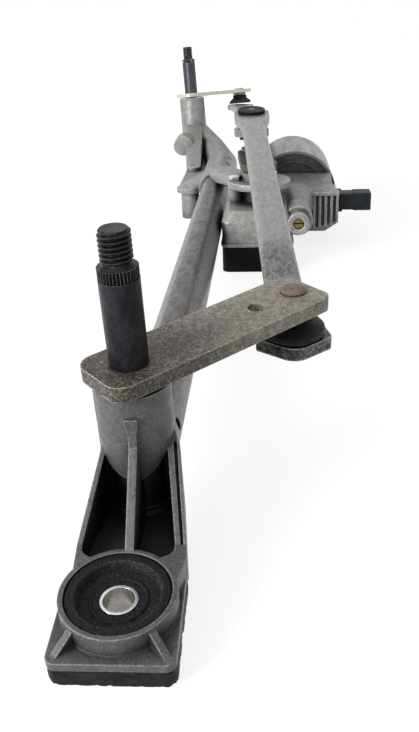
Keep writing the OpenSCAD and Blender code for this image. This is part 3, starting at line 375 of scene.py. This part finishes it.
# Far bearing casting and the gear housing of the motor.
# Pressure die-cast aluminium, shot-blasted and never painted, bolted to each other.
# Raw aluminium stays pale; road dirt has stained it brown, and painted shade darkens the corners.

# A pale satin grey with brown stains, dark brown in the corners from painted shade, with bright edges.
raw_cast = weathered("raw_die_cast_aluminium", clean="#a6a6a4", dull="#8e8d8a", stain="#4b4137",
                     worn="#e6e4df", grime_and_shade="#12100f", metallic=0.3, rough=0.42, grain=1.2, mottle=4.5,
                     stained=0.38, salt=0.15, pepper=0.35, grit=0.25, edge=1.0, fillet=1.8, deep=20,
                     relief=0.03)
paint(raw_cast, "far_housing", "gear_housing")

# Bearing bushes in both barrels and in the gear housing.
# Sintered bronze soaked with oil, pressed in; the pores make it a dull brown.

# A dull brown that hardly mirrors, because the pores hold oil.
bronze = weathered("oiled_sintered_bronze", clean="#9a7a50", dull="#80633f", stain="#4d3b28",
                   worn="#b79566", grime_and_shade="#241d15", metallic=0.8, rough=0.45, grain=0.4, mottle=3,
                   stained=0.3)
paint(bronze, "near_bushes", "far_bushes", "output_bush")

# Wiper spindles: shank in the bushes, shoulder on the lever, serrated band and thread for the wiper arm.
# Turned steel; the serrations are rolled, and the thread is cut as one helix that runs out at its foot.
# The near one has a black phosphate coat, which rubs through to brownish grey; the far one is blued.

# In millimetres, with heights over the pivot; a shoulder turns within one step.
SPINDLE_R, SHANK_R, RELIEF_R = 6.2, 6.0, 5.2
SERRATED = (28.1, 31.9)
TEETH, TOOTH_DEPTH, TOOTH_DROP = 36, 0.62, 0.05
THREADED = (32.2, 43.05)
CREST_R, ROOT_R, THREAD_PITCH = 4.9, 3.95, 1.5
FLANK_RISE, FLANK_START = 1.6, 0.3
TIP_CHAMFER = 0.9
AROUND = 4 * TEETH
THREAD_CELLS = 10
STEP = 0.01
NEAR_FOOT, FAR_FOOT = -53.5, -49.4

pivots = {joint["name"]: joint for joint in frame["record"]["behaviour"]["joints"]}


def spindle_radius(height, turn):
    """Radius in mm, at a height in mm over the pivot and at a share of one turn."""
    if height < 0:
        return SHANK_R
    if height < SERRATED[0]:
        return SPINDLE_R
    if height < SERRATED[1]:
        return SPINDLE_R - TOOTH_DROP - TOOTH_DEPTH * abs(2 * (turn * TEETH % 1) - 1)
    if height < THREADED[0]:
        return RELIEF_R
    climb = ((height - THREADED[0]) / THREAD_PITCH - turn) % 1
    flank = min(1, max(0, FLANK_RISE * (1 - abs(2 * climb - 1)) - FLANK_START))
    run_out = min(1, (height - THREADED[0]) / THREAD_PITCH)
    tip = CREST_R - max(0, height - THREADED[1] + TIP_CHAMFER)
    return min(tip, ROOT_R + (CREST_R - ROOT_R) * max(flank * run_out, 1 - 2 * run_out))


def turned_spindle(name, pivot, foot, finish):
    """A spindle on its pivot's axis, from the height of its foot to its tip."""
    seat = Matrix.Translation(pivots[pivot]["pos_m"]) @ tilted(-Vector(pivots[pivot]["axis"]))
    rows = [foot, -STEP, 0, SERRATED[0] - STEP, SERRATED[0], SERRATED[1] - STEP, SERRATED[1]]
    cells = int((THREADED[1] - THREADED[0]) / THREAD_PITCH * THREAD_CELLS)
    rows += [THREADED[0] + THREAD_PITCH * i / THREAD_CELLS for i in range(cells + 1)] + [THREADED[1]]
    points = []
    for height in rows:
        for i in range(AROUND):
            angle = math.tau * i / AROUND
            r = spindle_radius(height, i / AROUND)
            points.append(seat @ (Vector((r * math.cos(angle), r * math.sin(angle), height)) / 1000))
    faces = between_rings(len(rows), AROUND, False)
    faces += [tuple(reversed(range(AROUND))), tuple(range((len(rows) - 1) * AROUND, len(rows) * AROUND))]
    return new_piece(name, points, faces, finish)


# A black without shine, brownish where the coat has rubbed through.
phosphate = weathered("black_phosphate_steel", clean="#2b2c31", dull="#0c0d0f", stain="#3b342d",
                      worn="#6a6966", grime_and_shade="#050506", metallic=0.0, rough=0.34, grain=0.6, mottle=6,
                      stained=0.35, salt=0.08, pepper=0.5, grit=0.6, edge=0.3, stretch=(1, 1, 2),
                      fillet=0.15, deep=2, relief=0.1, specular=0.15)
near_spindle = turned_spindle("near_spindle_turned", "near_pivot", NEAR_FOOT, phosphate)
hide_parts("near_spindle")
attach(near_spindle, "near_wiper_arm")
paint(phosphate, "near_circlip", "far_circlip")

# A dark, slightly blue steel with a narrow highlight down its side.
blued = weathered("blued_steel", clean="#474a51", dull="#3a3d43", stain="#33302d", worn="#85888e",
                  grime_and_shade="#141417", metallic=0.4, rough=0.32, grain=0.9, mottle=3.5, stained=0.2, grit=0.3,
                  stretch=(1, 1, 2), fillet=0.15, deep=3)
far_spindle = turned_spindle("far_spindle_turned", "far_pivot", FAR_FOOT, blued)
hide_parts("far_spindle")
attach(far_spindle, "far_wiper_arm")

# Wiper levers, pressed from steel plate and staked on the spindles.
# The near one has lost the shine of its zinc and is mottled grey with brown stains;
# the far one still has its pale yellow passivation.


def middle(name):
    """Centre of a CAD node's box."""
    low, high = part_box(name)
    return (low + high) / 2


grease = middle("near_washer")
# Sandy grey and brown grains, darkest where grease has spread twice from the spindle.
grey_zinc = weathered("weathered_zinc_plate", clean="#aaa599", dull="#857f74", stain="#3c3026",
                      worn="#d6d2c4", grime_and_shade="#2a2018", metallic=0.15, rough=0.42, grain=0.55, mottle=2.2,
                      stained=0.45, salt=0.45, pepper=0.7, grit=0.9, deep=4, relief=0.35,
                      grease_and_shadow=[(grease, 0.045), (grease, 0.034)])
paint(grey_zinc, "near_lever")

# A creamy pale yellow, hardly worn.
yellow_zinc = weathered("pale_yellow_zinc_plate", clean="#ebe8da", dull="#d8d3c0", stain="#9b8e70",
                        worn="#f6f4ec", grime_and_shade="#574f41", metallic=0.3, rough=0.36, grain=0.8, mottle=5,
                        stained=0.15, salt=0.1, pepper=0.15)
paint(yellow_zinc, "far_lever", "far_ball_stud")

# Ball studs riveted into the levers and the crank, and the crank with its nut.
# Cold-headed steel with a coat of brown rust; the forged crank is dark scale and rust.
# A dust boot of soft rubber is slipped over the far lever's ball.

# A matt brown, rough to the eye.
rusty = weathered("rusted_steel", clean="#807167", dull="#6d5f56", stain="#6a4d3b", worn="#ab9f94",
                  grime_and_shade="#33291f", metallic=0.2, rough=0.55, grain=0.7, mottle=1.8, stained=0.25, salt=0.4,
                  pepper=0.5, grit=0.5, relief=0.2)
paint(rusty, "near_ball_stud")

# A patchy dark brown with a faint sheen.
scale = weathered("forged_steel_scale", clean="#5b534b", dull="#453e37", stain="#6d5038", worn="#948b80",
                  grime_and_shade="#211d1a", metallic=0.3, rough=0.5, grain=0.7, mottle=4, stained=0.4)
paint(scale, "motor_crank")

# A grey that mirrors softly through its film of oil.
oiled = weathered("oiled_steel", clean="#7d7b77", dull="#696763", stain="#4a4036", worn="#a9a6a1",
                  grime_and_shade="#1f1c19", metallic=0.7, rough=0.3, grain=0.7, mottle=3, stained=0.3)
paint(oiled, "crank_nut", "crank_ball_stud", "output_shaft")

# A powdery brownish black.
boot_dust = weathered("dusty_boot_rubber", clean="#4d4742", dull="#3a3531", stain="#6b6259", worn="#857c73",
                      grime_and_shade="#141210", metallic=0.0, rough=0.6, grain=0.9, mottle=3, stained=0.3,
                      specular=0.2)
paint(boot_dust, "far_ball_boot")

# Ball sockets of the rods, gear cover and connector.
# Black glass-filled nylon, moulded with a fine spark-eroded grain.
# The connector has stood in the sun and is greyer than the rest.

# In metres, apart from the last two, which are pattern sizes in millimetres.
NYLON_FILLET = 0.0006
NYLON_GRAIN = 0.00004
NYLON_CLOUD = 11
SPARKED = 0.7

# A soft black with a broad dull highlight and greyish scuffs on the edges.
# The sparked grain is about 0.1 mm wide on the real one, and is drawn wider so that it shows.
nylon = bare("black_glass_filled_nylon")
place = add(nylon, "TexCoord", {}, {}).outputs["Object"]
clouds = add(nylon, "TexNoise", {}, {"Vector": place, "Scale": per_mm(NYLON_CLOUD), "Detail": 6,
                                     "Roughness": 0.65})
spark = add(nylon, "TexNoise", {}, {"Vector": place, "Scale": per_mm(SPARKED), "Detail": 3, "Roughness": 0.6})
dusty = add(nylon, "MapRange", {}, {"Value": clouds.outputs["Fac"], "From Min": 0.4, "From Max": 0.72,
                                    "To Max": 0.7})
dusted = add(nylon, "Mix", {"data_type": "RGBA"},
             {0: dusty.outputs[0], 6: linear("#0b0c0e"), 7: linear("#1d1e22")})
rim = add(nylon, "AmbientOcclusion", {"inside": True, "only_local": True, "samples": 8},
          {"Distance": NYLON_FILLET})
scuffed = add(nylon, "MapRange", {}, {"Value": rim.outputs["AO"], "From Min": 0.85, "From Max": 0.45,
                                      "To Max": 0.6})
edged = add(nylon, "Mix", {"data_type": "RGBA"},
            {0: scuffed.outputs[0], 6: dusted.outputs[2], 7: linear("#4a4b50")})
gloss = add(nylon, "MapRange", {}, {"Value": clouds.outputs["Fac"], "To Min": 0.34, "To Max": 0.62})
round_edge = add(nylon, "Bevel", {"samples": 6}, {"Radius": NYLON_FILLET})
grain = add(nylon, "Bump", {}, {"Height": spark.outputs["Fac"], "Distance": NYLON_GRAIN,
                                "Normal": round_edge.outputs[0]})
shader = add(nylon, "BsdfPrincipled", {},
             {"Base Color": edged.outputs[2], "Roughness": gloss.outputs[0], "IOR": 1.53,
              "Specular IOR Level": 0.08, "Normal": grain.outputs[0]})
add(nylon, "OutputMaterial", {}, {"Surface": shader.outputs[0]})
paint(nylon, "gear_cover", "near_rod_crank_socket", "near_rod_lever_socket", "far_rod_crank_socket",
      "far_rod_lever_socket")

# A bluish charcoal, greyer than the nylon of the cover.
bleached = weathered("sun_bleached_nylon", clean="#262a31", dull="#1d2026", stain="#34363a", worn="#5c6068",
                     grime_and_shade="#0b0c0f", metallic=0.0, rough=0.5, grain=0.8, mottle=5, stained=0.2, salt=0.1,
                     pepper=0.2, grit=0.2, specular=0.2)
paint(bleached, "connector")

# Motor can, its end plate, the magnets glued inside it and the armature on its shaft.
# The can is deep-drawn steel, bright plated; it mirrors its surroundings with faint draw lines.

# A grey mirror, blurred along the can by the draw lines.
can_steel = weathered("drawn_plated_steel", clean="#7c7a76", dull="#6c6a66", stain="#463f37",
                      worn="#a8a6a2", grime_and_shade="#2e2b28", metallic=0.6, rough=0.32, grain=0.8, mottle=8,
                      stained=0.15, salt=0.05, pepper=0.05, grit=0.08, stretch=(1, 8, 1), relief=0.004)
paint(can_steel, "motor_can")

# A dark grey with a dull, broad highlight.
dark_plate = weathered("dark_plated_steel", clean="#4d4d50", dull="#3e3e41", stain="#464038",
                       worn="#85837f", grime_and_shade="#171615", metallic=0.4, rough=0.42, grain=0.7, mottle=6,
                       stained=0.25)
paint(dark_plate, "motor_end_plate")

# A flat dark grey with grinding lines.
ferrite = weathered("ground_ferrite", clean="#3c3c3e", dull="#313133", stain="#46423d", worn="#5c5b5a",
                    grime_and_shade="#161616", metallic=0.1, rough=0.55, grain=0.5, mottle=5, stretch=(1, 3, 1))
paint(ferrite, "can_magnets")

# A grey with fine lines where the sheets meet.
armature_steel = weathered("stacked_steel_sheet", clean="#85837f", dull="#6c6a66", stain="#5b4e40",
                           worn="#a09e9a", grime_and_shade="#24221f", metallic=0.7, rough=0.4, grain=0.5, mottle=3,
                           stretch=(3, 0.3, 3))
paint(armature_steel, "armature_core", "armature_shaft")

# Worm wheel on the output shaft.
# Natural acetal, injection moulded: milky, slightly waxy, browned by grease between the teeth.

# A milky cream, browned by grease.
acetal = weathered("greased_acetal", clean="#d9d4c3", dull="#cbc4ae", stain="#9c8a63", worn="#e6e2d6",
                   grime_and_shade="#6b5a3b", metallic=0.0, rough=0.4, grain=0.6, mottle=5, stained=0.3, salt=0.1,
                   pepper=0.1)
paint(acetal, "worm_wheel")

# Thrust screw that takes up the armature's end play, with a screwdriver slot.
# Turned brass, dulled to ochre, sealed with lacquer.

# An ochre with a soft shine.
brass = weathered("dulled_turned_brass", clean="#8f7b4f", dull="#70603c", stain="#4a3d26", worn="#b09a68",
                  grime_and_shade="#2b2316", metallic=0.9, rough=0.4, grain=0.6, mottle=2.5, stained=0.3)
paint(brass, "thrust_screw")

# Link rods: flat-oval steel tubes pressed flat at both ends.
# Galvanised like the frame tube but cleaner, with dark specks and a few brown patches.

rod_from, rod_to = middle("near_rod_crank_socket"), middle("near_rod_lever_socket")
# A light clean grey, specked dark towards the lever and around the ball sockets; the darkest smear, at the
# lever's socket, is grease together with painted shadow of the lever.
rod_zinc = weathered("clean_galvanised_steel", clean="#939492", dull="#828381", stain="#39332d",
                     worn="#d0d0cd", grime_and_shade="#1a1613", metallic=0.4, rough=0.3, grain=1.0, mottle=2.0,
                     stained=0.25, salt=0.1, pepper=0.4, grit=0.2, edge=0.9, stretch=(1, 3, 1), fillet=1.2,
                     relief=0.05,
                     grease_and_shadow=[(rod_from, 0.015), (rod_from.lerp(rod_to, 0.82), 0.03), (rod_to, 0.03),
                             (rod_to, 0.022), (middle("far_rod_lever_socket"), 0.016)])
paint(rod_zinc, "near_rod", "far_rod")

# Floor under the part.
# A sheet of matt white paper, which lies level at the part's lowest point and keeps its soft shadow.
# Seen directly or in a mirror it is lifted towards white, fully so far away, where it meets the room.

FLOOR_SIDE = 6
FLOOR_CENTRE = (0.0, 0.35, 0.0)
FADE = (0.45, 1.1)
LIFT = (0.82, 1.0)


def in_view(material):
    """1 where the camera looks directly, in a mirror or through glass, and 0 for the light on the part."""
    seen = add(material, "LightPath", {}, {})
    shown = seen.outputs["Is Camera Ray"]
    for ray in ("Is Glossy Ray", "Is Transmission Ray"):
        shown = add(material, "Math", {"operation": "MAXIMUM"}, {0: shown, 1: seen.outputs[ray]}).outputs[0]
    return shown


# A white without any shine, on which only the shadow shows.
sheet = bare("white_paper_sheet")
spot = add(sheet, "TexCoord", {}, {}).outputs["Object"]
away = add(sheet, "VectorMath", {"operation": "DISTANCE"}, {0: spot, 1: FLOOR_CENTRE})
fade = add(sheet, "MapRange", {"interpolation_type": "SMOOTHSTEP"},
           {"Value": away.outputs["Value"], "From Min": FADE[0], "From Max": FADE[1],
            "To Min": LIFT[0], "To Max": LIFT[1]})
lift = add(sheet, "Math", {"operation": "MULTIPLY"}, {0: in_view(sheet), 1: fade.outputs[0]})
paper = add(sheet, "BsdfDiffuse", {}, {"Color": linear("#a0a0a0")})
glow = add(sheet, "Emission", {}, {"Strength": lift.outputs[0]})
both = add(sheet, "AddShader", {}, {0: paper.outputs[0], 1: glow.outputs[0]})
add(sheet, "OutputMaterial", {}, {"Surface": both.outputs[0]})
half = FLOOR_SIDE / 2
corners = ((-half, -half), (half, -half), (half, half), (-half, half))
floor = new_piece("floor", [(x, y, cad_box[0][2]) for x, y in corners], [(0, 1, 2, 3)], sheet)

# Studio light.
# A white room, brighter towards a window on the left front, gives the soft light and the white background.
# One wide softbox on the same side models the round forms and draws the shadow.

ROOM_LOW, ROOM_HIGH = 0.24, 0.66
ROOM_SPAN = (-0.6, 1.0)
WINDOW = Vector((-0.75, -0.55, 0.37))
LAMP_PLACE = Vector((-0.95, -0.8, 0.55))
LAMP_AIM = Vector((0.0, 0.2, 0.03))
LAMP_SIDE = 0.55
LAMP_POWER = 19.0

world = bpy.data.worlds.new("studio")
bpy.context.scene.world = world
world.use_nodes = True
world.node_tree.nodes.clear()
sky = add(world, "TexCoord", {}, {}).outputs["Generated"]
side = add(world, "VectorMath", {"operation": "DOT_PRODUCT"}, {0: sky, 1: WINDOW})
dome = add(world, "MapRange", {"interpolation_type": "SMOOTHSTEP"},
           {"Value": side.outputs["Value"], "From Min": ROOM_SPAN[0], "From Max": ROOM_SPAN[1],
            "To Min": ROOM_LOW, "To Max": ROOM_HIGH})
level = add(world, "Math", {"operation": "MAXIMUM"}, {0: in_view(world), 1: dome.outputs[0]})
backdrop = add(world, "Background", {}, {"Color": (1, 1, 1, 1), "Strength": level.outputs[0]})
add(world, "OutputWorld", {}, {"Surface": backdrop.outputs[0]})

lamp = bpy.data.lights.new("softbox", "AREA")
lamp.size = LAMP_SIDE
lamp.energy = LAMP_POWER
softbox = bpy.data.objects.new("softbox", lamp)
softbox.location = LAMP_PLACE
softbox.rotation_euler = (LAMP_AIM - LAMP_PLACE).to_track_quat("-Z", "Y").to_euler()
bpy.context.scene.collection.objects.link(softbox)

# Camera.
# It stands close to the near mount, a hand above it, and looks along the tube and a little down.
# Place, turn and focal length were worked out from the tube, the levers and the floor line in the photo.

EYE = Vector((0.0411, -0.1731, 0.1620))
LOOK_DOWN = math.radians(24.7)
YAW = math.radians(4.6)
ROLL = math.radians(2.0)
SENSOR = 36
FOCAL_PIXELS, PHOTO_HEIGHT = 800, 732
LENS = FOCAL_PIXELS / PHOTO_HEIGHT * SENSOR
NEAREST = 0.01

ahead = Vector((-math.sin(YAW) * math.cos(LOOK_DOWN), math.cos(YAW) * math.cos(LOOK_DOWN),
                -math.sin(LOOK_DOWN)))
level_right = Vector((math.cos(YAW), math.sin(YAW), 0))
level_up = level_right.cross(ahead)
right = math.cos(ROLL) * level_right - math.sin(ROLL) * level_up
up = math.sin(ROLL) * level_right + math.cos(ROLL) * level_up
lens = bpy.data.cameras.new("camera")
lens.lens = LENS
lens.sensor_width = SENSOR
lens.clip_start = NEAREST
camera = bpy.data.objects.new("camera", lens)
camera.matrix_world = Matrix.Translation(EYE) @ Matrix((right, up, -ahead)).transposed().to_4x4()
bpy.context.scene.collection.objects.link(camera)
bpy.context.scene.camera = camera
bpy.context.scene.view_settings.view_transform = "Standard"
